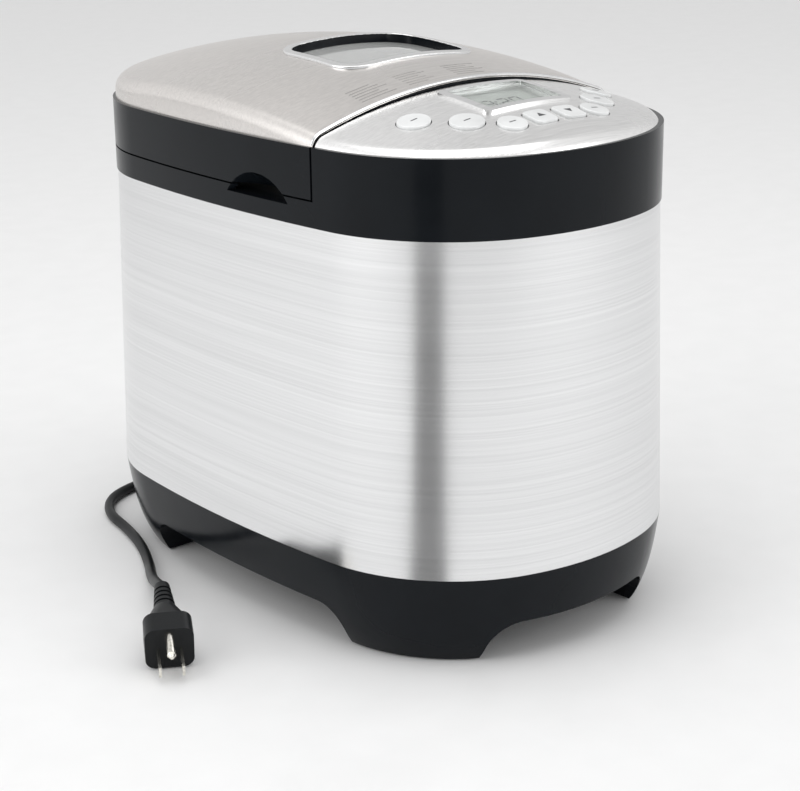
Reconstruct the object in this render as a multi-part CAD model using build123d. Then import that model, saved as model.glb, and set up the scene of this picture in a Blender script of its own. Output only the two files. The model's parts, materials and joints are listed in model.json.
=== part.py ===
from build123d import *
import math
import os

os.makedirs("parts", exist_ok=True)

# Countertop bread machine. Millimetres, +Z up, the control panel faces -Y and the lid hinge is at +Y.
# The origin is on the surface the machine stands on, under the middle of its body.

# ---------------------------------------------------------------- driving dimensions
HALF_WIDTH = 114.0  # body plan at the top edge of the steel wall
HALF_LENGTH = 180.0
SIDE_SAG = 17.5  # bow of a long side, over the half length
END_SAG = 54.0  # bow of an end, over the full width
CORNER_R = 94.0
SHELL_DRAFT = 5.0  # how far the foot of the steel wall stands outside its top edge

FOOT_Z = 1.0  # plastic feet stand on rubber pads that show this much
ARCH_Z = 24.5  # roof of the arches between the feet
BASE_TOP = 54.0
STEEL_TOP = 240.0
DECK_TOP = 250.0  # plastic deck round the mouth of the chamber
COLLAR_TOP = 254.0
LID_BOTTOM = 255.0
RIM_Z = 283.0  # top of the black band
SEAM_Y = -80.0  # front face of the lid
HEAD_Y = -81.5  # rear face of the fixed control head

BAND_GROW = 0.8  # the black band overhangs the steel wall
BAND_IN = -2.4
TRIM_GROW = -1.0  # steel covers stand just inside the black rim
SHEET = 1.0
WALL = 3.0

DRIVE_Y = 42.0  # vertical axis of the paddle drive
MOTOR_Y = -112.0

# Crowned covers: height of the highest point, its Y, and the radii along Y and X
LID_CROWN = (318.5, 30.0, 530.0, 320.0)
PANEL_CROWN = (304.8, -61.0, 400.0, 340.0)
EDGE_FILLET = 9.0

# Hinge at the rear of the lid
HINGE_Y = 170.0
HINGE_Z = 268.0
PIN_R = 2.0
RUNNING = 0.05  # radial clearance of pins and shafts that turn

# Chamber and pan, both centred on the drive axis
CHAMBER_HALF = (82.0, 108.0)
CHAMBER_R = 30.0
CHAMBER_BOTTOM = 96.0
PAN_BOTTOM = 120.0
PAN_RIM = 238.0
PAN_TOP_HALF = (64.0, 88.0)
PAN_FOOT_HALF = (58.0, 82.0)
LINER_Z = 276.0

# Mains cord
CORD_D = 6.5
CORD_R = CORD_D / 2


# ---------------------------------------------------------------- shape helpers
def corner_centre():
    """Centre of the corner arc that is tangent inside the side arc and the end arc."""
    side_r = (HALF_LENGTH**2 + SIDE_SAG**2) / (2 * SIDE_SAG)
    end_r = (HALF_WIDTH**2 + END_SAG**2) / (2 * END_SAG)
    side_c = (HALF_WIDTH - side_r, 0.0)
    end_c = (0.0, HALF_LENGTH - end_r)
    gap_x = end_c[0] - side_c[0]
    gap_y = end_c[1] - side_c[1]
    gap = math.hypot(gap_x, gap_y)
    reach_a = side_r - CORNER_R
    reach_b = end_r - CORNER_R
    along = (reach_a**2 - reach_b**2 + gap**2) / (2 * gap)
    across = math.sqrt(reach_a**2 - along**2)
    x = side_c[0] + (along * gap_x - across * gap_y) / gap
    y = side_c[1] + (along * gap_y + across * gap_x) / gap
    return side_c, end_c, (x, y)


SIDE_C, END_C, CORNER_C = corner_centre()


def polar(centre, towards, radius):
    """Point at radius from centre, in the direction of another point."""
    dx = towards[0] - centre[0]
    dy = towards[1] - centre[1]
    length = math.hypot(dx, dy)
    return (centre[0] + dx * radius / length, centre[1] + dy * radius / length)


def outline(grow=0.0):
    """Body plan, grown outwards: four bowed sides joined by four corner arcs."""
    start_dir = (2 * CORNER_C[0] - SIDE_C[0], 2 * CORNER_C[1] - SIDE_C[1])
    end_dir = (2 * CORNER_C[0] - END_C[0], 2 * CORNER_C[1] - END_C[1])
    radius = CORNER_R + grow
    start = polar(CORNER_C, start_dir, radius)
    end = polar(CORNER_C, end_dir, radius)
    chord_mid = ((start[0] + end[0]) / 2, (start[1] + end[1]) / 2)
    middle = polar(CORNER_C, chord_mid, radius)
    half_x = HALF_WIDTH + grow
    half_y = HALF_LENGTH + grow
    edges = []
    for sx, sy in ((1, 1), (-1, 1), (-1, -1), (1, -1)):
        corner = [(p[0] * sx, p[1] * sy) for p in (start, middle, end)]
        edges.append(ThreePointArc(*corner))
    for sy in (1, -1):
        edges.append(ThreePointArc((end[0], sy * end[1]), (0, sy * half_y), (-end[0], sy * end[1])))
    for sx in (1, -1):
        edges.append(ThreePointArc((sx * start[0], start[1]), (sx * half_x, 0), (sx * start[0], -start[1])))
    return make_face(Wire(edges))


def slab(grow, z0, z1):
    """Upright prism of the body plan."""
    return extrude(Pos(0, 0, z0) * outline(grow), z1 - z0)


def drafted(*sections, ruled=True):
    """Loft of the body plan through (z, grow) pairs."""
    return loft([Pos(0, 0, z) * outline(grow) for z, grow in sections], ruled=ruled)


def span(x, y, z):
    """Box from three (low, high) pairs."""
    size = (x[1] - x[0], y[1] - y[0], z[1] - z[0])
    return Pos(sum(x) / 2, sum(y) / 2, sum(z) / 2) * Box(*size)


def post(x, y, z0, z1, radius):
    """Upright cylinder."""
    return Pos(x, y, (z0 + z1) / 2) * Cylinder(radius, z1 - z0)


def tube(x, y, z0, z1, outer, inner):
    """Upright ring."""
    return post(x, y, z0, z1, outer) - post(x, y, z0 - 1, z1 + 1, inner)


def rounded(half_x, half_y, radius, z0, z1, x=0.0, y=0.0):
    """Upright prism with a rounded rectangular plan."""
    plan = Pos(x, y, z0) * RectangleRounded(2 * half_x, 2 * half_y, radius)
    return extrude(plan, z1 - z0)


def crown(shape, drop=0.0):
    """Solid under a doubly curved cover, lowered by drop along its own radius."""
    top, apex_y, along_r, across_r = shape
    half = 135.0
    depth = 110.0
    radius = across_r - drop
    sag = radius - math.sqrt(radius**2 - half**2)
    high = top - drop
    arc = ThreePointArc((-half, apex_y, high - sag), (0, apex_y, high), (half, apex_y, high - sag))
    sides = Polyline(
        (half, apex_y, high - sag),
        (half, apex_y, top - depth),
        (-half, apex_y, top - depth),
        (-half, apex_y, high - sag),
    )
    profile = make_face(Wire([arc, *sides.edges()]))
    axis = Axis((0, apex_y, top - along_r), (1, 0, 0))
    swing = 38.0
    return revolve(profile.rotate(axis, -swing), axis, 2 * swing)


def crown_z(shape, x, y):
    """Height of a crowned cover at a point of the plan."""
    top, apex_y, along_r, across_r = shape
    sag = across_r - math.sqrt(across_r**2 - x**2)
    return top - along_r + math.sqrt((along_r - sag) ** 2 - (y - apex_y) ** 2)


def dome(shape, y_range, grow, drop, fillet_r):
    """Part of the body plan between two Y planes, closed by a crowned top with a rolled edge."""
    block = slab(grow, 215.0, 335.0) & span((-150, 150), y_range, (200, 340)) & crown(shape, drop)
    rim = []
    for edge in block.edges():
        middle = edge.center()
        on_cut = min(abs(middle.Y - y_range[0]), abs(middle.Y - y_range[1])) < 1
        if middle.Z > 262 and not on_cut:
            rim.append(edge)
    return fillet(rim, fillet_r)


def cover(shape, y_range):
    """Sheet-metal cover: the part of a dome's skin above the rim, between two Y planes."""
    outer = dome(shape, y_range, TRIM_GROW, 0.0, EDGE_FILLET)
    inner = dome(shape, (y_range[0] - 5, y_range[1] + 5), TRIM_GROW - SHEET, SHEET, EDGE_FILLET - SHEET)
    return (outer & span((-150, 150), y_range, (RIM_Z, 340))) - inner


def write(name, shape):
    """One sub-part, one file."""
    shape.label = name
    export_step(shape, f"parts/{name}.step")


# ---------------------------------------------------------------- base
BASE_PROFILE = ((FOOT_Z, -10.0), (9.0, -5.4), (23.0, -0.4), (BASE_TOP, SHELL_DRAFT))
FOOT_X = 60.0  # the feet begin this far from the middle planes
FOOT_Y = 92.0
ARCH_R = 16.0
PAD_AT = (74.0, 112.0)
PAD_R = 9.0
PAD_H = 4.0
PLATE_HALF = (60.0, 74.0)
PLATE_SCREW = (54.0, 68.0)
GLAND_X = 16.0
GLAND_Z = 38.0
GLAND_R = 6.0
POSTS = [(-58, -128), (58, -128), (-58, 132), (58, 132)]
POST_R = 6.0
FRAME_Z = 80.0


def arch(half_width, length, turn, allowance=0.0):
    """Tunnel with a rounded roof, cut right through between two pairs of feet."""
    width = 2 * (half_width + allowance)
    roof = ARCH_Z + allowance
    shape = Pos(0, (roof - 20) / 2) * Rectangle(width, roof + 20)
    shape = fillet(shape.vertices().group_by(Axis.Y)[-1], ARCH_R)
    tunnel = extrude(Plane.XZ * shape, length, both=True)
    return tunnel.rotate(Axis.Z, turn)


def base_housing():
    body = drafted(*BASE_PROFILE, ruled=False)
    body -= arch(FOOT_X, 200, 0)
    body -= arch(FOOT_Y, 150, 90)
    floor = ARCH_Z + WALL
    body -= drafted((floor, -2.6), (BASE_TOP + 1, SHELL_DRAFT - WALL + 0.2))
    hollow = drafted((FOOT_Z + PAD_H + 2, -10.2), (floor + 1, -3.2))
    hollow -= arch(FOOT_X + WALL, 200, 0, WALL)
    hollow -= arch(FOOT_Y + WALL, 150, 90, WALL)
    body -= hollow
    body -= rounded(PLATE_HALF[0] - 12, PLATE_HALF[1] - 12, 8, ARCH_Z - 1, floor + 1)
    tongue = slab(SHELL_DRAFT - 1.8, BASE_TOP - 4, BASE_TOP + 8)
    body += tongue - slab(SHELL_DRAFT - 4.2, BASE_TOP - 5, BASE_TOP + 9)
    for x, y in POSTS:
        body += post(x, y, ARCH_Z + 0.5, FRAME_Z, POST_R)
    for sx in (-1, 1):
        for sy in (-1, 1):
            body += post(sx * PAD_AT[0], sy * PAD_AT[1], FOOT_Z, FOOT_Z + PAD_H + 3, PAD_R + 2.6)
            body -= post(sx * PAD_AT[0], sy * PAD_AT[1], 0, PAD_H, PAD_R)
            body -= post(sx * PLATE_SCREW[0], sy * PLATE_SCREW[1], ARCH_Z - 1, floor + 1, 1.6)
    body -= Pos(GLAND_X, HALF_LENGTH, GLAND_Z) * Rot(90, 0, 0) * Cylinder(GLAND_R, 30)
    for i in range(10):
        x = -57 + 12 * i
        if abs(x - GLAND_X) > 12:
            body -= span((x - 3, x + 3), (HALF_LENGTH - 40, HALF_LENGTH + 20), (43, 47))
    return body


def foot_pads():
    pads = [post(sx * PAD_AT[0], sy * PAD_AT[1], 0, PAD_H, PAD_R) for sx in (-1, 1) for sy in (-1, 1)]
    return Compound([chamfer(p.edges().group_by(Axis.Z)[0], 0.6) for p in pads])


def bottom_plate():
    plate = rounded(PLATE_HALF[0], PLATE_HALF[1], 12, ARCH_Z - SHEET, ARCH_Z)
    for sx in (-1, 1):
        for sy in (-1, 1):
            plate -= post(sx * PLATE_SCREW[0], sy * PLATE_SCREW[1], ARCH_Z - 2, ARCH_Z + 1, 1.6)
        for i in range(8):
            y = -49 + 14 * i
            plate -= rounded(17, 2.2, 2.1, ARCH_Z - 2, ARCH_Z + 1, sx * 24, y)
    return plate


def base_screws():
    screws = []
    for sx in (-1, 1):
        for sy in (-1, 1):
            x = sx * PLATE_SCREW[0]
            y = sy * PLATE_SCREW[1]
            head = post(x, y, ARCH_Z - SHEET - 2, ARCH_Z - SHEET, 3.2)
            head -= span((x - 2, x + 2), (y - 0.4, y + 0.4), (ARCH_Z - SHEET - 2.5, ARCH_Z - SHEET - 1.1))
            head -= span((x - 0.4, x + 0.4), (y - 2, y + 2), (ARCH_Z - SHEET - 2.5, ARCH_Z - SHEET - 1.1))
            screws.append(head + post(x, y, ARCH_Z - SHEET - 1, ARCH_Z + WALL + 3, 1.6))
    return Compound(screws)


# ---------------------------------------------------------------- steel wall and black collar
HINGE_RELIEF = 46.0  # half width of the low part of the collar behind the hinge
BLOCK_HALF = 20.0
LUG_R = 5.0
RECESS_Y = -36.0  # finger recess, one on each long side
RECESS_R = 38.6
RECESS_C = (133.5, 230.0)


def steel_shell():
    outer = drafted((BASE_TOP, SHELL_DRAFT), (STEEL_TOP, 0.0))
    inner = drafted((BASE_TOP - 1, SHELL_DRAFT - 0.8), (STEEL_TOP + 1, -0.8))
    return outer - inner


def finger_scoop(side):
    return Pos(side * RECESS_C[0], RECESS_Y, RECESS_C[1]) * Sphere(RECESS_R)


def chamber_prism(allowance, z0, z1):
    half_x, half_y = CHAMBER_HALF
    return rounded(half_x + allowance, half_y + allowance, CHAMBER_R + allowance, z0, z1, 0, DRIVE_Y)


def upper_collar():
    rear = (HEAD_Y, 200)
    wall = slab(BAND_GROW, STEEL_TOP, RIM_Z) - slab(BAND_IN, STEEL_TOP - 1, RIM_Z + 1)
    wall -= span((-150, 150), rear, (COLLAR_TOP, RIM_Z + 1))
    behind_head = span((-150, 150), (HEAD_Y - WALL, 200), (200, 300))
    deck = slab(BAND_IN + 0.5, DECK_TOP - WALL, DECK_TOP) & behind_head
    deck -= chamber_prism(-0.8, 200, 300)
    head = slab(BAND_IN + 0.5, DECK_TOP - WALL, 330) & span((-150, 150), (HEAD_Y - WALL, HEAD_Y), (200, 330))
    under = dome(PANEL_CROWN, (-200, HEAD_Y + 5), TRIM_GROW - SHEET - 0.4, SHEET + 0.4, EDGE_FILLET - SHEET)
    head &= under + slab(-2.6, 200, RIM_Z)
    lip = slab(-1.3, STEEL_TOP - 8, STEEL_TOP + 2) - slab(-3.2, STEEL_TOP - 9, STEEL_TOP + 3)
    body = wall + deck + head + lip
    body -= span((-HINGE_RELIEF, HINGE_RELIEF), (150, 200), (DECK_TOP, RIM_Z))
    for side in (-1, 1):
        body -= finger_scoop(side) & span((-150, 150), (-100, 20), (DECK_TOP, COLLAR_TOP + 2))
    block = span((-BLOCK_HALF, BLOCK_HALF), (HINGE_Y - LUG_R, HINGE_Y + LUG_R), (DECK_TOP - 1, HINGE_Z))
    block += Pos(0, HINGE_Y, HINGE_Z) * Rot(0, 90, 0) * Cylinder(LUG_R, 2 * BLOCK_HALF)
    block -= Pos(0, HINGE_Y, HINGE_Z) * Rot(0, 90, 0) * Cylinder(PIN_R, 2 * BLOCK_HALF + 2)
    return body + block


def hinge_pin():
    return Pos(0, HINGE_Y, HINGE_Z) * Rot(0, 90, 0) * Cylinder(PIN_R, 62)


# ---------------------------------------------------------------- control panel
PANEL_TILT = 9.8  # degrees; buttons and display are square to this slope
BUTTON_PROUD = 1.6
BUTTON_TRAVEL = 1.2
BUTTON_GAP = 0.5
BOARD_DEPTH = 20.0  # circuit board under the panel, measured along the tilted axis
PANEL_REF = (0.0, -120.0)
DISPLAY_AT = (0.0, -110.0)
BEZEL_HALF = (32.0, 21.5)
GLASS_HALF = (27.0, 17.0)
BUTTONS = [
    ("menu_button", -67.3, -112.5, 9.0, True),
    ("colour_button", -48.0, -132.5, 9.5, True),
    ("loaf_button", -30.2, -148.0, 8.2, True),
    ("time_up_button", -10.5, -148.3, 7.6, False),
    ("time_down_button", 10.5, -148.3, 7.6, False),
    ("timer_button", 30.2, -148.0, 8.2, True),
    ("start_button", 48.0, -132.5, 9.5, True),
    ("stop_button", 67.3, -112.5, 9.0, True),
]
NORMAL = (0.0, -math.sin(math.radians(PANEL_TILT)), math.cos(math.radians(PANEL_TILT)))


def panel_plane(x, y):
    """Plane through a point of the panel, square to the button travel."""
    return Plane(origin=(x, y, crown_z(PANEL_CROWN, x, y)), x_dir=(1, 0, 0), z_dir=NORMAL)


def reference_depth(x, y, z):
    """Distance of a point below the reference point of the panel, along the tilted axis."""
    ref_z = crown_z(PANEL_CROWN, *PANEL_REF)
    return -((y - PANEL_REF[1]) * NORMAL[1] + (z - ref_z) * NORMAL[2])


def button_plan(radius, is_round):
    return Circle(radius) if is_round else RectangleRounded(2 * radius, 2 * radius, 3.2)


def button_prism(x, y, radius, is_round, low, high):
    """Prism of a button's plan along its travel, between two depths from the panel surface."""
    start = panel_plane(x, y).offset(low)
    return extrude(start * button_plan(radius, is_round), high - low)


def display_prism(half, radius, low, high):
    start = panel_plane(*DISPLAY_AT).offset(low)
    return extrude(start * RectangleRounded(2 * half[0], 2 * half[1], radius), high - low)


def panel_fascia():
    skin = cover(PANEL_CROWN, (-200, HEAD_Y))
    skin -= display_prism((GLASS_HALF[0] + 2.4, GLASS_HALF[1] + 2.4), 3, -20, 20)
    for _, x, y, radius, is_round in BUTTONS:
        skin -= button_prism(x, y, radius + BUTTON_GAP, is_round, -20, 20)
    return skin


def display_bezel():
    rim = display_prism(BEZEL_HALF, 4, -8, 8) & crown(PANEL_CROWN, -1.5)
    rim -= crown(PANEL_CROWN, 0)
    neck = display_prism((GLASS_HALF[0] + 2, GLASS_HALF[1] + 2), 3, -6, 5) & crown(PANEL_CROWN, -0.5)
    return rim + neck - display_prism(GLASS_HALF, 1.5, -20, 20)


def display_lens():
    return display_prism((GLASS_HALF[0] - 0.1, GLASS_HALF[1] - 0.1), 1.4, -3.2, -1.7)


def display_module():
    return display_prism((GLASS_HALF[0] + 4, GLASS_HALF[1] + 4), 1, -14, -6.2)


def board_plane():
    return panel_plane(*PANEL_REF).offset(-BOARD_DEPTH)


def switch_place(x, y):
    """Point of the board under a button, as board coordinates."""
    z = crown_z(PANEL_CROWN, x, y)
    tangent_y = math.cos(math.radians(PANEL_TILT))
    tangent_z = math.sin(math.radians(PANEL_TILT))
    ref_z = crown_z(PANEL_CROWN, *PANEL_REF)
    return x, (y - PANEL_REF[1]) * tangent_y + (z - ref_z) * tangent_z


def control_board():
    """Circuit board with one push switch under each button."""
    board = extrude(board_plane() * Pos(0, -2) * Rectangle(152, 62), -1.6)
    for _, x, y, _, _ in BUTTONS:
        u, v = switch_place(x, y)
        board += extrude(board_plane() * Pos(u, v) * Rectangle(6, 6), 3.5)
        board += extrude(board_plane() * Pos(u, v) * Circle(1.7), 4.5)
    return board


def button(x, y, radius, is_round):
    depth = BOARD_DEPTH - reference_depth(x, y, crown_z(PANEL_CROWN, x, y))
    cap = button_prism(x, y, radius, is_round, -6, 6) & crown(PANEL_CROWN, -BUTTON_PROUD)
    cap = fillet(cap.faces().sort_by(Axis.Z)[-1].edges(), 0.8)
    flange = button_prism(x, y, radius + 1.4, is_round, -6, -4.2)
    stem_low = -(depth - 4.5 - BUTTON_TRAVEL - 0.4)
    stem = extrude(panel_plane(x, y).offset(stem_low) * Circle(2.5), -stem_low - 5)
    return cap + flange + stem


# ---------------------------------------------------------------- lid
WINDOW_Y = -2.0
WINDOW_HALF = (47.0, 33.0)
WINDOW_R = 15.0
FRAME_W = 3.2
FRAME_PROUD = 1.5
INNER_PANE = 3.8


def window_prism(allowance, z0, z1):
    half_x, half_y = WINDOW_HALF
    return rounded(half_x + allowance, half_y + allowance, WINDOW_R + allowance, z0, z1, 0, WINDOW_Y)


def lid_top():
    skin = cover(LID_CROWN, (SEAM_Y, 200))
    return skin - window_prism(0.3, 270, 340)


def lid_skirt():
    rear = span((-150, 150), (SEAM_Y, 200), (LID_BOTTOM, 335))
    wall = slab(BAND_GROW, LID_BOTTOM, RIM_Z) - slab(BAND_IN, LID_BOTTOM - 1, RIM_Z + 1)
    front = slab(-1.2, LID_BOTTOM, 335) & span((-150, 150), (SEAM_Y, SEAM_Y + WALL), (LID_BOTTOM, 335))
    under = dome(LID_CROWN, (SEAM_Y - 5, 205), TRIM_GROW - SHEET, SHEET, EDGE_FILLET - SHEET)
    front &= under + slab(-1.2, 240, RIM_Z)
    body = (wall & rear) + front
    for side in (-1, 1):
        x = sorted((side * 101.5, side * 112.5))
        grip = span(x, (RECESS_Y - 30, RECESS_Y + 30), (LID_BOTTOM, 268))
        body += grip & slab(-1.0, 200, 300)
        body -= finger_scoop(side)
    body -= span((-BLOCK_HALF - 0.6, BLOCK_HALF + 0.6), (150, 200), (LID_BOTTOM - 1, HINGE_Z + 9))
    for side in (-1, 1):
        x = sorted((side * (BLOCK_HALF + 1), side * (BLOCK_HALF + 11)))
        knuckle = Pos(sum(x) / 2, HINGE_Y, HINGE_Z) * Rot(0, 90, 0) * Cylinder(LUG_R, 10)
        knuckle += span(x, (HINGE_Y, 177), (HINGE_Z - 4, HINGE_Z + 4)) & slab(-1, 200, 300)
        body += knuckle
    return body - Pos(0, HINGE_Y, HINGE_Z) * Rot(0, 90, 0) * Cylinder(PIN_R + RUNNING, 70)


def window_frame():
    flange = (window_prism(FRAME_W, 280, 340) & crown(LID_CROWN, -FRAME_PROUD)) - crown(LID_CROWN, -0.05)
    neck = window_prism(0, 300, 340) & crown(LID_CROWN, -FRAME_PROUD / 2)
    frame = flange + neck
    frame -= window_prism(-2.0, 270, 345)
    return fillet(frame.faces().sort_by(Axis.Z)[-1].edges(), 0.8)


def window_glass():
    pane = window_prism(-2.1, 280, 340) & crown(LID_CROWN, 4.0)
    return pane - crown(LID_CROWN, 7.0)


def inner_glass():
    return window_prism(3, LINER_Z, LINER_Z + INNER_PANE)


def lid_liner():
    region = slab(-13.5, LID_BOTTOM + 5, LINER_Z) & span((-150, 150), (SEAM_Y + 8, 158), (200, 300))
    inside = slab(-14.5, LID_BOTTOM + 4, LINER_Z - SHEET) & span((-150, 150), (SEAM_Y + 9, 157), (200, 300))
    return region - inside - window_prism(-1, 240, 300)


def lid_gasket():
    ring = chamber_prism(5, DECK_TOP + 0.6, LID_BOTTOM + 5) - chamber_prism(1, DECK_TOP - 1, 300)
    return ring & slab(-5, 200, 300)


# ---------------------------------------------------------------- chamber, pan and paddle
PAN_HEIGHT = PAN_RIM - PAN_BOTTOM
PIVOT_Z = PAN_RIM + 3.0
HANDLE_R = 2.2
HANDLE_X = 72.5
HANDLE_REACH = 78.0
ELEMENT_Z = 112.0
ELEMENT_R = 3.2


def baking_chamber():
    tub = chamber_prism(0, CHAMBER_BOTTOM, DECK_TOP - WALL)
    tub -= chamber_prism(-0.8, CHAMBER_BOTTOM + 0.8, DECK_TOP)
    flange = chamber_prism(3, DECK_TOP - WALL - 0.8, DECK_TOP - WALL) - chamber_prism(-0.5, 200, 300)
    tub += flange
    for side in (-1, 1):
        for y in (DRIVE_Y - 45, DRIVE_Y + 45):
            x = sorted((side * 69.0, side * 77.0))
            tub += span(x, (y - 4, y + 4), (CHAMBER_BOTTOM, ELEMENT_Z - ELEMENT_R))
    tub -= post(0, DRIVE_Y, CHAMBER_BOTTOM - 1, CHAMBER_BOTTOM + 2, 10)
    for x in (-12, 12):
        tub -= Pos(x, DRIVE_Y - CHAMBER_HALF[1], ELEMENT_Z) * Rot(90, 0, 0) * Cylinder(ELEMENT_R + 0.1, 10)
    return tub - Pos(-CHAMBER_HALF[0], 10, 165) * Rot(0, 90, 0) * Cylinder(3, 10)


def heating_element():
    front = DRIVE_Y - 98
    rear = DRIVE_Y + 98
    route = [(-12, front - 26), (-12, front), (-73, front), (-73, rear), (73, rear), (73, front), (12, front)]
    route.append((12, front - 26))
    points = [(x, y, ELEMENT_Z) for x, y in route]
    path = FilletPolyline(*points, radius=[9, 24, 24, 24, 24, 9])
    section = Plane(origin=points[0], z_dir=(0, 1, 0)) * Circle(ELEMENT_R)
    return sweep(section, path)


def temperature_probe():
    probe = Pos(-80, 10, 165) * Rot(0, 90, 0) * Cylinder(3, 12)
    return probe + Pos(-84.5, 10, 165) * Rot(0, 90, 0) * Cylinder(6, 3)


def pan_seat():
    low = CHAMBER_BOTTOM + 0.8
    seat = tube(0, DRIVE_Y, low, low + 2, 46, 24) + tube(0, DRIVE_Y, low, 109, 34, 24)
    for side in (-1, 1):
        tab = span((-5, 5), sorted((DRIVE_Y + side * 42, DRIVE_Y + side * 45)), (low, 114))
        seat += tab
    return seat


def pan_block(inset, z0, z1):
    """Drafted inside or outside of the pan."""
    sections = []
    for z in (z0, z1):
        share = (z - PAN_BOTTOM) / PAN_HEIGHT
        half_x = PAN_FOOT_HALF[0] + share * (PAN_TOP_HALF[0] - PAN_FOOT_HALF[0]) - inset
        half_y = PAN_FOOT_HALF[1] + share * (PAN_TOP_HALF[1] - PAN_FOOT_HALF[1]) - inset
        sections.append(Pos(0, DRIVE_Y, z) * RectangleRounded(2 * half_x, 2 * half_y, 20 + 4 * share - inset))
    return loft(sections, ruled=True)


def bread_pan():
    pan = pan_block(0, PAN_BOTTOM, PAN_RIM)
    bead = rounded(67, 91, 27, PAN_RIM - 3, PAN_RIM, 0, DRIVE_Y)
    pan = pan + bead - pan_block(1.2, PAN_BOTTOM + 1.2, PAN_RIM + 1)
    pan -= post(0, DRIVE_Y, PAN_BOTTOM - 1, PAN_BOTTOM + 2, 8)
    for side in (-1, 1):
        x = sorted((side * 67.0, side * 68.5))
        ear = span(x, (DRIVE_Y - 7, DRIVE_Y + 7), (PAN_RIM - 3, PIVOT_Z + 5))
        ear = fillet(ear.edges().filter_by(Axis.X).group_by(Axis.Z)[-1], 5)
        pan += ear
    return pan - Pos(0, DRIVE_Y, PIVOT_Z) * Rot(0, 90, 0) * Cylinder(HANDLE_R + RUNNING, 150)


def pan_foot_ring():
    return tube(0, DRIVE_Y, 100, PAN_BOTTOM, 40, 37) + tube(0, DRIVE_Y, PAN_BOTTOM - 1.5, PAN_BOTTOM, 44, 37)


def pan_handle():
    y = DRIVE_Y
    far = DRIVE_Y - HANDLE_REACH
    inner = 66.9
    points = [(inner, y), (HANDLE_X, y), (HANDLE_X, far), (-HANDLE_X, far), (-HANDLE_X, y), (-inner, y)]
    points = [(px, py, PIVOT_Z) for px, py in points]
    path = FilletPolyline(*points, radius=[3.2, 16, 16, 3.2])
    section = Plane(origin=points[0], z_dir=(1, 0, 0)) * Circle(HANDLE_R)
    return sweep(section, path)


def pan_bush():
    bush = tube(0, DRIVE_Y, 112, 128, 8, 4 + RUNNING)
    return bush + tube(0, DRIVE_Y, PAN_BOTTOM - 3, PAN_BOTTOM, 12, 6)


def pan_spindle():
    spindle = post(0, DRIVE_Y, 106, 143, 4)
    return spindle - span((2.6, 6), (DRIVE_Y - 6, DRIVE_Y + 6), (132, 150))


def pan_coupling():
    wing = span((-3.5, 3.5), (DRIVE_Y - 11, DRIVE_Y + 11), (106, 111))
    wing = fillet(wing.edges().filter_by(Axis.Z), 1.5) + post(0, DRIVE_Y, 106, 111, 6.5)
    return wing - post(0, DRIVE_Y, 100, 120, 4)


def kneading_paddle():
    hub = post(0, DRIVE_Y, 132.2, 152, 9)
    blade = span((-4, 44), (DRIVE_Y - 3, DRIVE_Y + 3), (132.2, 160))
    blade = fillet(blade.edges().filter_by(Axis.Y).sort_by(Axis.X)[-2:], 9)
    paddle = hub + blade
    shaft = post(0, DRIVE_Y, 130, 143, 4) - span((2.6, 6), (DRIVE_Y - 6, DRIVE_Y + 6), (120, 150))
    return paddle - shaft


# ---------------------------------------------------------------- drive train and electrics
PULLEY_Z = (62.0, 70.0)
GROOVE_BIG = 42.0
GROOVE_SMALL = 7.0
BELT_T = 1.8


def chassis_plate():
    plate = extrude(Pos(0, -2, FRAME_Z) * RectangleRounded(144, 281, 10), 2)
    plate &= slab(-6, 70, 100)
    plate -= post(0, DRIVE_Y, 70, 90, 9)
    plate -= post(0, MOTOR_Y, 70, 90, 12)
    for x, y in POSTS:
        plate -= post(x, y, 70, 90, 2)
    return plate


def chassis_screws():
    screws = []
    for x, y in POSTS:
        screws.append(post(x, y, FRAME_Z, FRAME_Z + 2, 2) + post(x, y, FRAME_Z + 2, FRAME_Z + 4, 4))
    return Compound(screws)


def chamber_spacers():
    places = [(sx * 44, DRIVE_Y + sy * 60) for sx in (-1, 1) for sy in (-1, 1)]
    return Compound([tube(x, y, FRAME_Z + 2, CHAMBER_BOTTOM, 6, 2) for x, y in places])


def drive_bearing():
    bush = tube(0, DRIVE_Y, 74, 93, 9, 4 + RUNNING)
    return bush + tube(0, DRIVE_Y, FRAME_Z + 2, FRAME_Z + 4, 15, 8)


def drive_shaft():
    return post(0, DRIVE_Y, 58, 101, 4)


def drive_dog():
    dog = post(0, DRIVE_Y, 98, 105, 13) - post(0, DRIVE_Y, 90, 101, 4)
    for turn in (0, 180):
        lug = tube(0, 0, 105, 111, 13, 8) & span((5, 20), (-5, 5), (100, 112))
        dog += Pos(0, DRIVE_Y, 0) * lug.rotate(Axis.Z, turn)
    return dog


def pulley(y, groove, rim, hub, hub_z, bore):
    low, high = PULLEY_Z
    wheel = post(0, y, low, high, rim) + post(0, y, hub_z[0], hub_z[1], hub)
    wheel -= tube(0, y, low + 1.2, high - 1.2, rim + 5, groove)
    return wheel - post(0, y, 40, 90, bore)


def drive_pulley():
    wheel = pulley(DRIVE_Y, GROOVE_BIG, 45, 10, (58, 73), 4)
    for i in range(6):
        wheel -= post(0, DRIVE_Y + 26, 50, 80, 8).rotate(Axis((0, DRIVE_Y, 0), (0, 0, 1)), 60 * i)
    return wheel


def motor_pulley():
    return pulley(MOTOR_Y, GROOVE_SMALL, 9.5, 6, (59, 72), 3)


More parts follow.
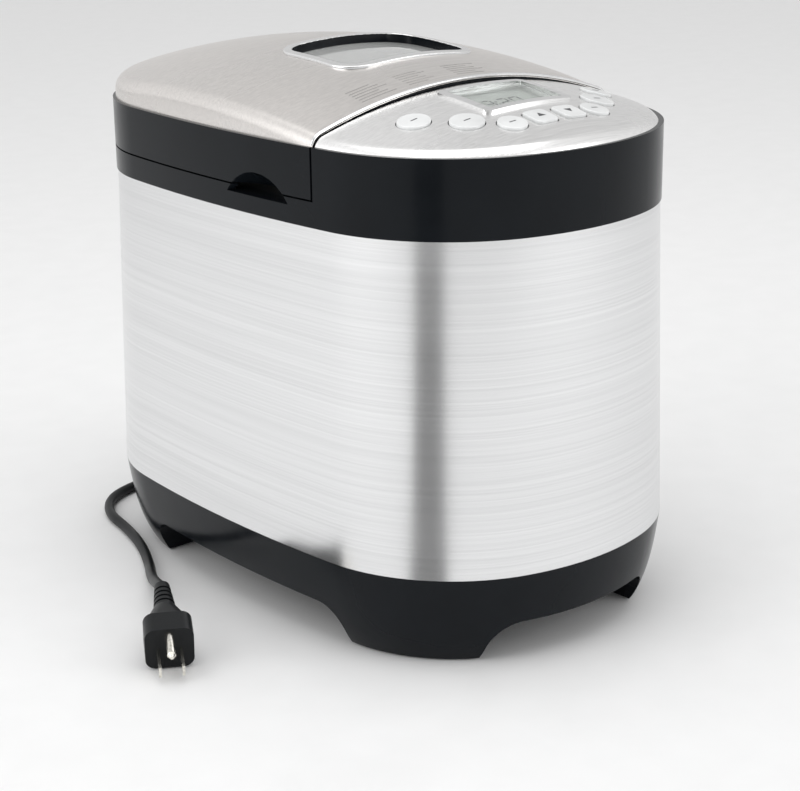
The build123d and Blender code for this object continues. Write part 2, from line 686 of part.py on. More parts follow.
def belt_plan(allowance):
    """Outline of the belt: two arcs and their outer tangents."""
    big = GROOVE_BIG + allowance
    small = GROOVE_SMALL + allowance
    reach = DRIVE_Y - MOTOR_Y
    lean = math.asin((big - small) / reach)
    points = []
    for y, radius in ((DRIVE_Y, big), (MOTOR_Y, small)):
        points.append((radius * math.cos(lean), y - radius * math.sin(lean)))
    (bx, by), (sx, sy) = points
    edges = [
        ThreePointArc((bx, by), (0, DRIVE_Y + big), (-bx, by)),
        Line((-bx, by), (-sx, sy)),
        ThreePointArc((-sx, sy), (0, MOTOR_Y - small), (sx, sy)),
        Line((sx, sy), (bx, by)),
    ]
    return make_face(Wire(edges))


def drive_belt():
    low = PULLEY_Z[0] + 1.6
    high = PULLEY_Z[1] - 1.6
    outer = extrude(Pos(0, 0, low) * belt_plan(0.4 + BELT_T), high - low)
    return outer - extrude(Pos(0, 0, low - 1) * belt_plan(0.4), high - low + 2)


def motor_housing():
    core = span((-36, 36), (MOTOR_Y - 28, MOTOR_Y + 28), (92, 128))
    core = fillet(core.edges().filter_by(Axis.Z), 6)
    lower = post(0, MOTOR_Y, FRAME_Z + 2, 92, 26)
    upper = post(0, MOTOR_Y, 128, 138, 26)
    return core + lower + upper - post(0, MOTOR_Y, 70, 125, 3 + RUNNING)


def motor_shaft():
    return post(0, MOTOR_Y, 58, 120, 3)


def run_capacitor():
    can = post(58, -104, FRAME_Z + 2, 130, 15)
    return fillet(can.edges().group_by(Axis.Z)[-1], 2)


def power_board():
    board = span((-72, -42), (-134, -78), (88, 89.6))
    board += post(-66, -128, FRAME_Z + 2, 88, 2.5) + post(-48, -84, FRAME_Z + 2, 88, 2.5)
    transformer = span((-70, -46), (-108, -84), (89.6, 108))
    relay = span((-68, -50), (-130, -114), (89.6, 105))
    return board + transformer + relay


def heat_shield():
    shield = span((-62, 62), (-72.5, -71.5), (86, 236))
    return shield - Pos(0, -72, ELEMENT_Z) * Box(34, 6, 14)


# ---------------------------------------------------------------- mains cord and plug
GLAND_LENGTH = 30.0
GLAND_DROP = 14.0  # degrees below level
GLAND_DIR = (0.0, math.cos(math.radians(GLAND_DROP)), -math.sin(math.radians(GLAND_DROP)))
GLAND_START = (GLAND_X, 181.0, GLAND_Z)
CORD_START = tuple(a + GLAND_LENGTH * b for a, b in zip(GLAND_START, GLAND_DIR))

COIL_C = (52.0, 236.0)
COIL_R = 36.0
COIL_OUTER = 42.5
COIL_INNER = 29.0
COIL_TOP = 13.2

PLUG_TURN = 240.0  # heading of the prongs in plan, degrees from +X
PLUG_DIP = 12.0
PLUG_FACE = (-196.0, -53.0, 13.6)
PLUG_BODY = 34.0
PLUG_TAIL = 24.0
PLUG_DIR = (
    math.cos(math.radians(PLUG_TURN)) * math.cos(math.radians(PLUG_DIP)),
    math.sin(math.radians(PLUG_TURN)) * math.cos(math.radians(PLUG_DIP)),
    -math.sin(math.radians(PLUG_DIP)),
)
CORD_END = tuple(a - (PLUG_BODY + PLUG_TAIL) * b for a, b in zip(PLUG_FACE, PLUG_DIR))

LEAD_ROUTE = [
    CORD_START,
    (16.5, 224.0, 25.5),
    (17.5, 240.0, 16.5),
    (22.0, 255.0, 10.5),
]
RUN_ROUTE = [
    (52.0, 197.0, 3.5),
    (16.0, 196.0, 3.5),
    (-20.0, 198.5, 3.5),
    (-53.0, 199.0, 3.5),
    (-82.0, 189.0, 3.5),
    (-99.0, 165.0, 3.5),
    (-104.0, 134.0, 3.5),
    (-113.0, 103.0, 3.5),
    (-127.0, 73.0, 4.0),
    (-143.0, 46.0, 9.0),
    (-157.0, 20.0, 18.0),
    CORD_END,
]


def corner_radii(points, name):
    """Largest arc at each corner: 0.45 of the shorter run over the tangent of half the turn."""
    radii = []
    for before, here, after in zip(points, points[1:], points[2:]):
        run_in = Vector(*here) - Vector(*before)
        run_out = Vector(*after) - Vector(*here)
        turn = math.radians(run_in.get_angle(run_out))
        radii.append(0.45 * min(run_in.length, run_out.length) / math.tan(turn / 2))
    print(name, "radii", [round(r, 1) for r in radii])
    return radii


def cord_tube(points, name):
    path = FilletPolyline(*points, radius=corner_radii(points, name))
    direction = Vector(*points[1]) - Vector(*points[0])
    section = Plane(origin=points[0], z_dir=tuple(direction)) * Circle(CORD_R)
    solid = sweep(section, path)
    length = sum(edge.length for edge in path.edges())
    share = solid.volume / (math.pi * CORD_R**2 * length)
    print(name, "length", round(length, 1), "volume over section times length", round(share, 4))
    return solid


def cord_coil():
    x, y = COIL_C
    ring = tube(x, y, 0.3, COIL_TOP, COIL_OUTER, COIL_INNER)
    return fillet(ring.edges().filter_by(GeomType.CIRCLE), 3)


def coil_tie():
    x, y = COIL_C
    middle = (COIL_OUTER + COIL_INNER) / 2
    width = COIL_OUTER - COIL_INNER
    outer = Pos(x + middle, y, (COIL_TOP + 0.3) / 2 + 0.15) * Box(width + 1.6, 6, COIL_TOP + 0.2)
    inner = Pos(x + middle, y, (COIL_TOP + 0.3) / 2 + 0.15) * Box(width, 8, COIL_TOP - 0.3)
    return outer - inner


def cord_gland():
    frame = Plane(origin=GLAND_START, x_dir=(1, 0, 0), z_dir=GLAND_DIR)
    sleeve = loft([frame * Circle(GLAND_R - 0.6), frame.offset(GLAND_LENGTH) * Circle(CORD_R + 0.9)])
    flange = Pos(GLAND_X, 182.6, GLAND_Z) * Rot(90, 0, 0) * Cylinder(GLAND_R + 2.5, 2.2)
    neck = Pos(GLAND_X, 180.5, GLAND_Z) * Rot(90, 0, 0) * Cylinder(GLAND_R, 8)
    for i in range(4):
        ring = frame.offset(6 + 5 * i)
        radius = GLAND_R - 0.6 - (5 + 5 * i) * 0.055
        sleeve -= extrude(ring * (Circle(12) - Circle(radius - 0.9)), 1.8)
    return sleeve + flange + neck


def plug_frame(offset=0.0):
    """Plane square to the prongs; local Y points up, towards the ground pin."""
    side = Vector(0, 0, 1).cross(Vector(*PLUG_DIR)).normalized()
    plane = Plane(origin=PLUG_FACE, x_dir=tuple(side), z_dir=PLUG_DIR)
    return plane.offset(offset)


def plug_body():
    block = extrude(plug_frame(-16) * RectangleRounded(27, 26, 6), 16)
    shoulder = loft([plug_frame(-PLUG_BODY) * Circle(7.2), plug_frame(-16) * RectangleRounded(26, 24, 8)])
    tail_end = plug_frame(-PLUG_BODY - PLUG_TAIL) * Circle(CORD_R + 1.2)
    tail = loft([tail_end, plug_frame(-PLUG_BODY) * Circle(6.6)])
    for i in range(4):
        start = -PLUG_BODY - 5 - 4.5 * i
        radius = 6.2 - 0.5 * i
        tail -= extrude(plug_frame(start) * (Circle(12) - Circle(radius - 0.9)), 1.8)
    body = block + shoulder + tail
    for x in (-6.35, 6.35):
        body -= extrude(plug_frame(-8) * Pos(x, -3) * Rectangle(1.5, 6.35), 12)
    return body - extrude(plug_frame(-8) * Pos(0, 8.9) * Circle(2.4), 12)


def plug_blades():
    blades = []
    for x in (-6.35, 6.35):
        blade = extrude(plug_frame(-8) * Pos(x, -3) * Rectangle(1.5, 6.35), 8 + 17)
        blades.append(blade - extrude(plug_frame(12) * Pos(x, -3) * Circle(1.4), 2.8))
    return Compound(blades)


def plug_ground_pin():
    pin = extrude(plug_frame(-8) * Pos(0, 8.9) * Circle(2.4), 8 + 18)
    return pin + extrude(plug_frame(18) * Pos(0, 8.9) * Circle(2.4), 2.4, taper=30)


# ---------------------------------------------------------------- write every sub-part
SINGLE_PARTS = [
    base_housing, foot_pads, bottom_plate, base_screws, steel_shell, upper_collar, hinge_pin,
    panel_fascia, display_bezel, display_lens, display_module, control_board,
    lid_top, lid_skirt, window_frame, window_glass, inner_glass, lid_liner, lid_gasket,
    baking_chamber, heating_element, temperature_probe, pan_seat,
    bread_pan, pan_foot_ring, pan_handle, pan_bush, pan_spindle, pan_coupling, kneading_paddle,
    chassis_plate, chassis_screws, chamber_spacers, drive_bearing, drive_shaft, drive_dog, drive_pulley,
    motor_pulley, drive_belt, motor_housing, motor_shaft, run_capacitor, power_board,
    heat_shield, cord_coil, coil_tie, cord_gland, plug_body, plug_blades, plug_ground_pin,
]  # fmt: skip

for make in SINGLE_PARTS:
    write(make.__name__, make())
for name, x, y, radius, is_round in BUTTONS:
    write(name, button(x, y, radius, is_round))
write("cord_lead", cord_tube(LEAD_ROUTE, "cord_lead"))
write("cord_run", cord_tube(RUN_ROUTE, "cord_run"))
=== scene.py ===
import json
import math

import bpy
from mathutils import Matrix, Vector


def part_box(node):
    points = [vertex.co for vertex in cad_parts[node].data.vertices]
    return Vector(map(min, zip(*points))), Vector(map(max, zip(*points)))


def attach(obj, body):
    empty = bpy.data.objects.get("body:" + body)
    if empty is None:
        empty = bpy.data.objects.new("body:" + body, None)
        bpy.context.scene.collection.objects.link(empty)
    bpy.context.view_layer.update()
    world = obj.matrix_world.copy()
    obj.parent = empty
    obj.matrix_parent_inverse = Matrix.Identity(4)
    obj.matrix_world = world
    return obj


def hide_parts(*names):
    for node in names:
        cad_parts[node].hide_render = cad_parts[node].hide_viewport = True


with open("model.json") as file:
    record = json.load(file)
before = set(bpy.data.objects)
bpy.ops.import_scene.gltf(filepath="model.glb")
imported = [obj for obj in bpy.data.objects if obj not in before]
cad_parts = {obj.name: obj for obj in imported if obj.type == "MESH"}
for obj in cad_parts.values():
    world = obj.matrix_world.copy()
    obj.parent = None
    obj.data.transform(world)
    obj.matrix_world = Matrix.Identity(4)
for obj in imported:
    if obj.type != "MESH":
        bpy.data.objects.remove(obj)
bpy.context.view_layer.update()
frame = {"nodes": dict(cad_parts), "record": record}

# Countertop bread machine. Metres, +Z up, the control panel faces -Y and the lid hinge is at +Y.
NODES = frame["nodes"]
MM = 0.001

# ---------------------------------------------------------------- camera
CAMERA_AT = (-0.72502, -0.88290, 0.47604)
CAMERA_AZIMUTH = -39.98
CAMERA_ELEVATION = 18.08
CAMERA_ROLL = -0.75
CAMERA_LENS = 88.07
SENSOR_WIDTH = 36


def make_camera():
    azimuth, elevation, roll = map(math.radians, (CAMERA_AZIMUTH, CAMERA_ELEVATION, CAMERA_ROLL))
    level = math.cos(elevation)
    back = Vector((math.sin(azimuth) * level, -math.cos(azimuth) * level, math.sin(elevation)))
    right = Vector((math.cos(azimuth), math.sin(azimuth), 0))
    up = back.cross(right)
    rolled_right = right * math.cos(roll) + up * math.sin(roll)
    rolled_up = up * math.cos(roll) - right * math.sin(roll)
    turn = Matrix((rolled_right, rolled_up, back)).transposed().to_4x4()
    data = bpy.data.cameras.new("camera")
    data.lens = CAMERA_LENS
    data.sensor_width = SENSOR_WIDTH
    camera = bpy.data.objects.new("camera", data)
    camera.matrix_world = Matrix.Translation(CAMERA_AT) @ turn
    bpy.context.scene.collection.objects.link(camera)
    bpy.context.scene.camera = camera


# ---------------------------------------------------------------- material building blocks
FINE_RELIEF = 0.00001


class Surface:
    """A Principled material whose colour, roughness and bump come from textures in object space."""

    def __init__(self, name, **sockets):
        self.material = bpy.data.materials.new(name)
        self.material.use_nodes = True
        self.tree = self.material.node_tree
        self.shader = self.tree.nodes["Principled BSDF"]
        for socket, value in sockets.items():
            self.shader.inputs[socket.replace("_", " ")].default_value = value

    def noise(self, scale, detail=3.0, stretch=(1, 1, 1), warp=0.0):
        """Fractal noise; scale is in features per metre, and stretch packs it along an axis.
        Warp hides the straight joints that stretched noise shows."""
        place = self.tree.nodes.new("ShaderNodeTexCoord")
        mapping = self.tree.nodes.new("ShaderNodeMapping")
        mapping.inputs["Scale"].default_value = stretch
        texture = self.tree.nodes.new("ShaderNodeTexNoise")
        texture.inputs["Scale"].default_value = scale
        texture.inputs["Detail"].default_value = detail
        texture.inputs["Distortion"].default_value = warp
        self.tree.links.new(place.outputs["Object"], mapping.inputs["Vector"])
        self.tree.links.new(mapping.outputs["Vector"], texture.inputs["Vector"])
        return texture.outputs["Fac"]

    def cells(self, scale):
        """Distance to the nearest of scattered points, for specks."""
        place = self.tree.nodes.new("ShaderNodeTexCoord")
        texture = self.tree.nodes.new("ShaderNodeTexVoronoi")
        texture.inputs["Scale"].default_value = scale
        self.tree.links.new(place.outputs["Object"], texture.inputs["Vector"])
        return texture.outputs["Distance"]

    def colour(self, field, dark, light, low=0.3, high=0.7):
        ramp = self.tree.nodes.new("ShaderNodeValToRGB")
        ramp.color_ramp.elements[0].position = low
        ramp.color_ramp.elements[0].color = (*dark, 1)
        ramp.color_ramp.elements[1].position = high
        ramp.color_ramp.elements[1].color = (*light, 1)
        self.tree.links.new(field, ramp.inputs["Fac"])
        self.tree.links.new(ramp.outputs["Color"], self.shader.inputs["Base Color"])

    def roughness(self, field, smooth, rough):
        spread = self.tree.nodes.new("ShaderNodeMapRange")
        spread.inputs["From Min"].default_value = 0.3
        spread.inputs["From Max"].default_value = 0.7
        spread.inputs["To Min"].default_value = smooth
        spread.inputs["To Max"].default_value = rough
        self.tree.links.new(field, spread.inputs["Value"])
        self.tree.links.new(spread.outputs["Result"], self.shader.inputs["Roughness"])

    def bump(self, field, depth, strength):
        """Relief of that depth in metres."""
        bump = self.tree.nodes.new("ShaderNodeBump")
        bump.inputs["Distance"].default_value = depth
        bump.inputs["Strength"].default_value = strength
        self.tree.links.new(field, bump.inputs["Height"])
        self.tree.links.new(bump.outputs["Normal"], self.shader.inputs["Normal"])


def shade(colour, factor):
    return tuple(min(1.0, channel * factor) for channel in colour)


def brushed(name, colour, stretch, smooth, rough):
    """Brushed sheet metal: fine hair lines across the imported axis, and uneven gloss from handling."""
    made = Surface(name, Metallic=1.0, Anisotropic=0.35)
    lines = made.noise(scale=60, detail=5, stretch=stretch, warp=0.6)
    made.colour(lines, dark=shade(colour, 0.90), light=shade(colour, 1.03))
    made.roughness(made.noise(scale=9, detail=2), smooth, rough)
    made.bump(lines, FINE_RELIEF, strength=0.08)
    return made.material


def moulded(name, colour, smooth, rough, grain=1400, depth=0.00005, spread=0.12, **sockets):
    """Moulded plastic or rubber: fine spark-eroded grain and uneven gloss."""
    made = Surface(name, **sockets)
    clouds = made.noise(scale=35)
    made.colour(clouds, dark=shade(colour, 1 - spread), light=shade(colour, 1 + spread))
    made.roughness(clouds, smooth, rough)
    made.bump(made.noise(grain, detail=2), depth, strength=0.35)
    return made.material


def cast(name, colour, smooth, rough, metallic=1.0, speck=500):
    """Cast, plated or coated metal with small specks."""
    made = Surface(name, Metallic=metallic)
    specks = made.cells(speck)
    made.colour(specks, dark=shade(colour, 0.8), light=shade(colour, 1.1), low=0.1, high=0.6)
    made.roughness(made.noise(scale=60), smooth, rough)
    made.bump(specks, depth=0.00006, strength=0.25)
    return made.material


def clear(name, colour, roughness, transmission=1.0):
    """Glass with faint smears."""
    made = Surface(name, Transmission_Weight=transmission, IOR=1.46)
    smears = made.noise(scale=25)
    made.colour(smears, dark=shade(colour, 0.96), light=colour)
    made.roughness(smears, smooth=roughness, rough=roughness + 0.05)
    return made.material


# Hair lines that run along X, and lines that run level all round the wall.
ALONG_X = (0.06, 14, 14)
LEVEL = (0.06, 0.06, 15)
FINISHES = {
    "black_plastic": moulded(
        "black_plastic", (0.0055, 0.007, 0.009), 0.16, 0.24, 2200, FINE_RELIEF, Specular_IOR_Level=0.14
    ),
    "brushed_steel": brushed("brushed_steel", (0.80, 0.803, 0.808), LEVEL, 0.17, 0.25),
    "steel_cover": brushed("steel_cover", (0.80, 0.77, 0.745), ALONG_X, 0.24, 0.36),
    "panel_cover": brushed("panel_cover", (0.96, 0.955, 0.95), ALONG_X, 0.22, 0.34),
    "bright_trim": brushed("bright_trim", (0.88, 0.88, 0.88), ALONG_X, 0.08, 0.18),
    "silver_button": moulded(
        "silver_button", (0.78, 0.79, 0.79), 0.14, 0.26, 900, FINE_RELIEF, Coat_Weight=0.6
    ),
    "clear_glass": clear("clear_glass", (0.88, 0.91, 0.90), 0.01),
    "window_pane": clear("window_pane", (0.80, 0.81, 0.80), 0.03, 0.55),
    "display_face": moulded("display_face", (0.80, 0.82, 0.77), 0.25, 0.4, 600, FINE_RELIEF),
    "circuit_board": moulded("circuit_board", (0.02, 0.16, 0.06), 0.3, 0.5),
    "rubber": moulded("rubber", (0.012, 0.012, 0.012), 0.6, 0.8),
    "silicone": moulded("silicone", (0.3, 0.3, 0.29), 0.45, 0.6),
    "zinc_steel": cast("zinc_steel", (0.55, 0.55, 0.52), 0.3, 0.5),
    "chamber_coat": cast("chamber_coat", (0.10, 0.10, 0.105), 0.35, 0.5, 0.2),
    "nonstick": cast("nonstick", (0.04, 0.04, 0.043), 0.3, 0.45, 0.1, 900),
    "heater_sheath": cast("heater_sheath", (0.16, 0.15, 0.14), 0.45, 0.65),
    "bronze": cast("bronze", (0.50, 0.33, 0.14), 0.35, 0.5),
    "cast_metal": cast("cast_metal", (0.52, 0.52, 0.53), 0.35, 0.55),
    "motor_iron": cast("motor_iron", (0.2, 0.2, 0.21), 0.5, 0.7),
    "grey_plastic": moulded("grey_plastic", (0.6, 0.59, 0.55), 0.4, 0.55),
    "cord_jacket": moulded("cord_jacket", (0.008, 0.009, 0.010), 0.32, 0.46, Specular_IOR_Level=0.2),
    "plug_metal": cast("plug_metal", (0.74, 0.72, 0.66), 0.16, 0.3),
}
PRINT = moulded("dark_print", (0.06, 0.06, 0.065), 0.4, 0.55, 600, FINE_RELIEF)
FAINT_PRINT = moulded("faint_print", (0.34, 0.33, 0.32), 0.4, 0.55, 600, FINE_RELIEF)
CARD_GREY = moulded("card_grey", (0.16, 0.16, 0.16), 0.8, 0.9)
STUDIO_FLOOR = moulded("studio_floor", (0.87, 0.87, 0.87), 0.7, 0.8, 300, 0.000001, spread=0.01)

# CAD nodes whose finish differs from that of their slot.
OWN_FINISH = {"panel_fascia": "panel_cover", "window_glass": "window_pane"}
WELD_GAP = 0.00001
SHARP_ANGLE = 28.0
UPRIGHT = 0.3  # a face whose normal rises less than this counts as a wall


def finish_cad_nodes():
    """Each CAD node takes its slot's finish, with smooth shading broken at sharp edges."""
    for part in frame["record"]["subparts"]:
        node = NODES[part["node"]]
        finish = OWN_FINISH.get(part["node"], part["material_slot"])
        node.data.materials.clear()
        node.data.materials.append(FINISHES[finish])
        for face in node.data.polygons:
            face.use_smooth = True
        weld = node.modifiers.new("weld", "WELD")
        weld.merge_threshold = WELD_GAP
        split = node.modifiers.new("sharp", "EDGE_SPLIT")
        split.split_angle = math.radians(SHARP_ANGLE)


def darken_window_walls():
    """The bright window rim has black inner walls, from its top edge down to the pane."""
    node = NODES["window_frame"]
    low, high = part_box("window_frame")
    centre = (low + high) / 2
    node.data.materials.append(FINISHES["black_plastic"])
    for face in node.data.polygons:
        inward = (centre.x - face.center.x) * face.normal.x + (centre.y - face.center.y) * face.normal.y
        if abs(face.normal.z) < UPRIGHT and inward > 0:
            face.material_index = 1


# ---------------------------------------------------------------- mains cord
CORD_D = 0.0065
# The route is in millimetres: the lead, the turns of the coil, then the run to the plug.
LEAD_ROUTE = [(16, 210.1, 30.7), (16.5, 224, 25.5), (17.5, 240, 16.5), (22, 255, 10.5)]
RUN_ROUTE = [
    (16, 196, 3.5), (-20, 198.5, 3.5), (-53, 199, 3.5), (-82, 189, 3.5), (-99, 165, 3.5),
    (-104, 134, 3.5), (-113, 103, 3.5), (-127, 73, 4), (-143, 46, 9), (-157, 20, 18),
    (-167.6, -3.9, 25.7),
]
COIL_CENTRE = (52, 236)
# Angle in degrees, clockwise from the coil's -X side, then the radius and height there. The first
# turn lies in the groove between the two turns on the floor, then drops to be the inner of the two.
COIL_LAY = [
    (45, 35.8, 9.7), (250, 35.8, 9.6), (270, 35.8, 10.3), (305, 35.0, 10.3), (325, 32.4, 9.6),
    (360, 32.4, 4.5), (375, 32.4, 3.5), (630, 32.4, 3.5), (668, 39.2, 3.5), (975, 39.2, 3.5),
]
COIL_STEP = 15


def between(keys, at):
    """Radius and height at an angle, read between the keys."""
    for (a, r0, z0), (b, r1, z1) in zip(keys, keys[1:]):
        if at <= b:
            share = (at - a) / (b - a)
            return r0 + share * (r1 - r0), z0 + share * (z1 - z0)
    return keys[-1][1:]


def coil_points():
    middle_x, middle_y = COIL_CENTRE
    points = []
    for angle in range(COIL_LAY[0][0], COIL_LAY[-1][0] + 1, COIL_STEP):
        radius, z = between(COIL_LAY, angle)
        turn = math.radians(180 - angle)
        points.append((middle_x + radius * math.cos(turn), middle_y + radius * math.sin(turn), z))
    return points


def make_cord():
    route = LEAD_ROUTE + coil_points() + RUN_ROUTE
    data = bpy.data.curves.new("mains_cord", "CURVE")
    data.dimensions = "3D"
    data.bevel_depth = 1.0  # scaled by each point's radius, which also keeps the curve's box tight
    data.bevel_resolution = 5
    data.resolution_u = 8
    data.use_fill_caps = True
    spline = data.splines.new("NURBS")
    spline.points.add(len(route) - 1)
    for point, place in zip(spline.points, route):
        point.co = (*(Vector(place) * MM), 1)
        point.radius = CORD_D / 2
    spline.order_u = 3
    spline.use_endpoint_u = True
    cord = bpy.data.objects.new("mains_cord", data)
    bpy.context.scene.collection.objects.link(cord)
    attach(cord, "base")
    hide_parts("cord_lead", "cord_coil", "cord_run")
    data.materials.append(FINISHES["cord_jacket"])


# ---------------------------------------------------------------- floor and studio light
FLOOR_SIZE = 60.0


def flat_piece(name, corners, material):
    mesh = bpy.data.meshes.new(name)
    mesh.from_pydata(corners, [], [(0, 1, 2, 3)])
    mesh.materials.append(material)
    piece = bpy.data.objects.new(name, mesh)
    bpy.context.scene.collection.objects.link(piece)
    return piece


def make_floor():
    half = FLOOR_SIZE / 2
    corners = [(-half, -half, 0), (half, -half, 0), (half, half, 0), (-half, half, 0)]
    floor = flat_piece("floor", corners, STUDIO_FLOOR)


# A dark card on the floor out of the picture. The steel wall mirrors it as one upright band at the
# front left corner, and it shows in reflections only.
CARD_FROM = (-0.100, -0.150)
CARD_HEADING = -146.0  # degrees from +X
CARD_REACH = (0.09, 1.6)  # its near and far edge
CARD_SPREAD = 9.0  # degrees either side of the heading
CARD_NEAR_HALF = 0.02
CARD_LIFT = 0.001


def make_card():
    corners = []
    heading = math.radians(CARD_HEADING)
    for reach, side in ((0, -1), (0, 1), (1, 1), (1, -1)):
        distance = CARD_REACH[reach]
        half = CARD_NEAR_HALF + distance * math.tan(math.radians(CARD_SPREAD))
        x = CARD_FROM[0] + distance * math.cos(heading) - side * half * math.sin(heading)
        y = CARD_FROM[1] + distance * math.sin(heading) + side * half * math.cos(heading)
        corners.append((x, y, CARD_LIFT))
    card = flat_piece("dark_card", corners, CARD_GREY)
    card.visible_camera = False
    card.visible_diffuse = False
    card.visible_shadow = False
    card.visible_transmission = False


LIGHT_AIM = (0, 0, 0.15)
# Name, place, size and power in watts.
SOFTBOXES = (
    ("top_box", (-0.1, -0.2, 2.0), (1.8, 1.8), 11),
    ("left_box", (-1.9, 0.3, 1.0), (1.5, 1.6), 10),
    ("front_box", (0.9, -1.9, 0.9), (1.2, 1.2), 7),
)
# Brightness of the studio round the horizon: share of a turn from -X through -Y, and the grey there.
# The darkest stretch is the unlit side of the room, towards the camera.
STUDIO = (
    (0.0, 0.93), (0.045, 0.84), (0.088, 0.36), (0.125, 0.40), (0.165, 0.62), (0.20, 0.74),
    (0.30, 0.92), (0.45, 0.78), (0.60, 0.62), (0.80, 0.86), (0.90, 0.97), (1.0, 0.93),
)


def make_softbox(name, place, size, power):
    data = bpy.data.lights.new(name, "AREA")
    data.shape = "RECTANGLE"
    data.size, data.size_y = size
    data.energy = power
    light = bpy.data.objects.new(name, data)
    light.location = place
    aim = Vector(LIGHT_AIM) - Vector(place)
    light.rotation_euler = aim.to_track_quat("-Z", "Y").to_euler()
    bpy.context.scene.collection.objects.link(light)


def make_light():
    """A pale room that is darker on one side, and three softboxes."""
    for box in SOFTBOXES:
        make_softbox(*box)
    world = bpy.data.worlds.new("studio")
    world.use_nodes = True
    tree = world.node_tree
    place = tree.nodes.new("ShaderNodeTexCoord")
    turn = tree.nodes.new("ShaderNodeTexGradient")
    turn.gradient_type = "RADIAL"
    ramp = tree.nodes.new("ShaderNodeValToRGB")
    ramp.color_ramp.interpolation = "EASE"
    stops = ramp.color_ramp.elements
    while len(stops) < len(STUDIO):
        stops.new(0.5)
    for stop, (position, grey) in zip(stops, STUDIO):
        stop.position = position
        stop.color = (grey, grey, grey, 1)
    background = tree.nodes["Background"]
    background.inputs["Strength"].default_value = 1.0
    tree.links.new(place.outputs["Generated"], turn.inputs["Vector"])
    tree.links.new(turn.outputs["Fac"], ramp.inputs["Fac"])
    tree.links.new(ramp.outputs["Color"], background.inputs["Color"])
    bpy.context.scene.world = world
    bpy.context.scene.view_settings.view_transform = "Standard"


# ---------------------------------------------------------------- details that sit on CAD surfaces
ABOVE_ALL = 1.0


def drop(node, x, y):
    """Highest point of a CAD node at a place in plan and the normal there, or None beside the node."""
    hit, place, normal, _ = NODES[node].ray_cast(Vector((x, y, ABOVE_ALL)), Vector((0, 0, -1)))
    return (place, normal) if hit else None


def add_mesh(name, vertices, faces, material, body):
    mesh = bpy.data.meshes.new(name)
    mesh.from_pydata(vertices, [], faces)
    mesh.materials.append(material)
    piece = bpy.data.objects.new(name, mesh)
    bpy.context.scene.collection.objects.link(piece)
    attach(piece, body)


PRINT_LIFT = 0.10 * MM
PRINT_SINK = 0.08 * MM


def printed(name, node, outlines, material, body):
    """Thin raised print that follows a node's top surface. Each outline is a triangle or a bar in plan."""
    vertices = []
    faces = []
    for outline in outlines:
        spots = [drop(node, x, y) for x, y in outline]
        if None in spots:
            raise ValueError(f"{name} reaches past {node}")
        first = len(vertices)
        count = len(outline)
        vertices += [place + normal * PRINT_LIFT for place, normal in spots]
        vertices += [place - normal * PRINT_SINK for place, normal in spots]
        if count > 4:
            strip = [(i, i + 1, count - 2 - i, count - 1 - i) for i in range(count // 2 - 1)]
        else:
            strip = [tuple(range(count))]
        for face in strip:
            faces.append(tuple(first + i for i in face))
            faces.append(tuple(first + count + i for i in reversed(face)))
        for i in range(count):
            j = (i + 1) % count
            faces.append((first + i, first + count + i, first + count + j, first + j))
    add_mesh(name, vertices, faces, material, body)


def bar(x, y, half_x, half_y, steps=1):
    """Rectangle in plan, with its long sides in steps so that it can follow a crown."""
    across = [x - half_x + 2 * half_x * i / steps for i in range(steps + 1)]
    return [(px, y - half_y) for px in across] + [(px, y + half_y) for px in reversed(across)]


def metres(outline):
    return [(x * MM, y * MM) for x, y in outline]


def plan_centre(low, high):
    return (low.x + high.x) / 2, (low.y + high.y) / 2


BEAD_R = 1.1 * MM
BEAD_INSET = 0.7 * MM
BEAD_STEPS = 60
BEAD_SEARCH = 0.2 * MM


def make_lid_bead():
    """Rolled front edge of the lid cover, along the seam with the control panel."""
    low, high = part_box("lid_top")
    y = low.y + BEAD_INSET
    reach = high.x
    while drop("lid_top", reach, y) is None:
        reach -= BEAD_SEARCH
    points = []
    for i in range(BEAD_STEPS + 1):
        x = reach * math.sin(math.radians(-90 + 180 * i / BEAD_STEPS))
        points.append(drop("lid_top", x, y)[0])
    data = bpy.data.curves.new("lid_front_bead", "CURVE")
    data.dimensions = "3D"
    data.bevel_depth = BEAD_R
    data.bevel_resolution = 4
    data.use_fill_caps = True
    spline = data.splines.new("POLY")
    spline.points.add(len(points) - 1)
    for point, place in zip(spline.points, points):
        point.co = (*place, 1)
    data.materials.append(FINISHES["bright_trim"])
    bead = bpy.data.objects.new("lid_front_bead", data)
    bpy.context.scene.collection.objects.link(bead)
    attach(bead, "lid")


# The marks are in millimetres. A column is its middle in X and half the width it may take.
MARK_COLUMNS = ((-56, 13), (-25, 11), (12, 13))
MARK_ROWS = 6
MARK_REAR_Y = -58.0
MARK_PITCH = 2.9
MARK_HALF_HEIGHT = 0.3
MARK_STEPS = 8
MARK_WIDTHS = (0.62, 0.77, 0.92)


def make_lid_marks():
    """Three columns of plain dashes between the window and the seam; they spell nothing."""
    outlines = []
    for column, (x, half) in enumerate(MARK_COLUMNS):
        for row in range(MARK_ROWS):
            width = half * MARK_WIDTHS[(row + column) % len(MARK_WIDTHS)]
            y = MARK_REAR_Y - MARK_PITCH * row
            dash = bar(x - half + width, y, width, MARK_HALF_HEIGHT, MARK_STEPS)
            outlines.append(metres(dash))
    printed("lid_marks", "lid_top", outlines, FAINT_PRINT, "lid")


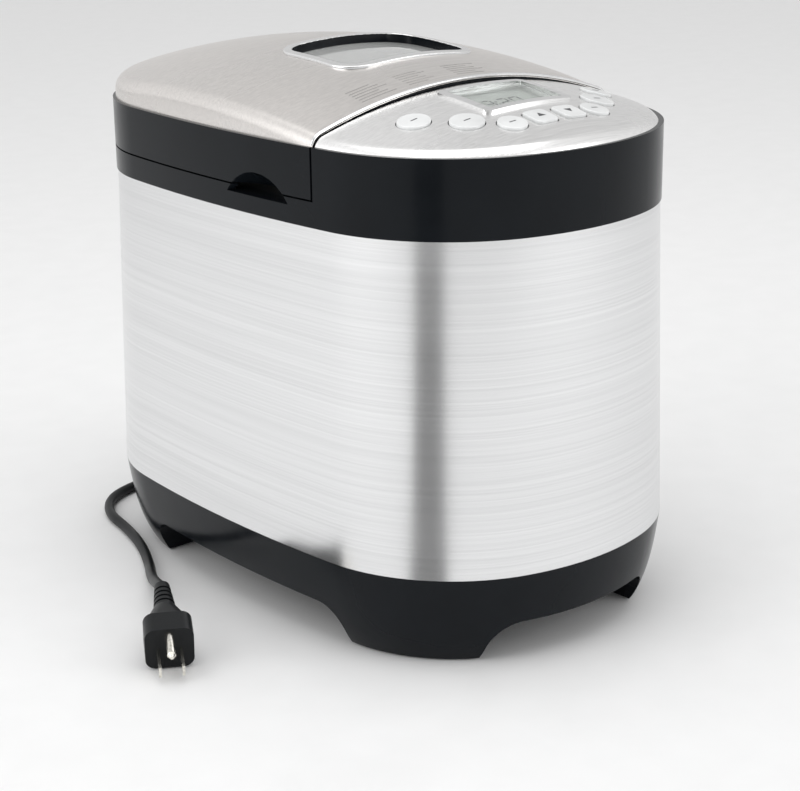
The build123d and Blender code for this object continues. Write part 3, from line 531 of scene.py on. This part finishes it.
BUTTON_NODES = (
    "menu_button", "colour_button", "loaf_button", "time_up_button",
    "time_down_button", "timer_button", "start_button", "stop_button",
)
BUTTON_MARK_SHIFT = -1.0 * MM
TRIANGLE_HALF = 2.4 * MM
TRIANGLE_TIP = 2.4 * MM
TRIANGLE_BACK = 1.6 * MM
DASH_HALF = (2.2 * MM, 0.35 * MM)


def make_button_marks():
    """A triangle on each time button and a short dash on the others."""
    for name in BUTTON_NODES:
        x, y = plan_centre(*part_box(name))
        y += BUTTON_MARK_SHIFT
        if name == "time_up_button":
            back = y - TRIANGLE_BACK
            outline = [(x - TRIANGLE_HALF, back), (x + TRIANGLE_HALF, back), (x, y + TRIANGLE_TIP)]
        elif name == "time_down_button":
            back = y + TRIANGLE_BACK
            outline = [(x, y - TRIANGLE_TIP), (x + TRIANGLE_HALF, back), (x - TRIANGLE_HALF, back)]
        else:
            outline = bar(x, y, *DASH_HALF)
        printed(name + "_mark", name, [outline], PRINT, name + "_body")


# A seven-segment digit: each segment's place, in half widths and half heights, and whether it lies level.
SEGMENTS = {
    "a": (0, 1, True), "b": (1, 0.5, False), "c": (1, -0.5, False), "d": (0, -1, True),
    "e": (-1, -0.5, False), "f": (-1, 0.5, False), "g": (0, 0, True),
}
DIGITS = ((-9, "abgcd"), (2, "abged"), (11, "abcdef"))
DIGIT_HALF = (3.0, 5.0)
LEVEL_SEGMENT = (2.3, 0.5)
UPRIGHT_SEGMENT = (0.5, 2.0)
COLON_X = -3.5
COLON_DOTS_Y = (-2, 2)
COLON_DOT_HALF = 0.6


def make_display_digits():
    """A plain time, three digits and a colon, on the face of the liquid-crystal module."""
    bars = []
    for x, lit in DIGITS:
        for key in lit:
            u, v, level = SEGMENTS[key]
            size = LEVEL_SEGMENT if level else UPRIGHT_SEGMENT
            bars.append(bar(x + u * DIGIT_HALF[0], v * DIGIT_HALF[1], *size))
    for y in COLON_DOTS_Y:
        bars.append(bar(COLON_X, y, COLON_DOT_HALF, COLON_DOT_HALF))
    cx, cy = plan_centre(*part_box("display_module"))
    outlines = [[(cx + x, cy + y) for x, y in metres(outline)] for outline in bars]
    printed("display_digits", "display_module", outlines, PRINT, "base")


make_camera()
make_cord()
make_floor()
make_light()
make_card()
finish_cad_nodes()
darken_window_walls()
make_lid_bead()
make_lid_marks()
make_button_marks()
make_display_digits()
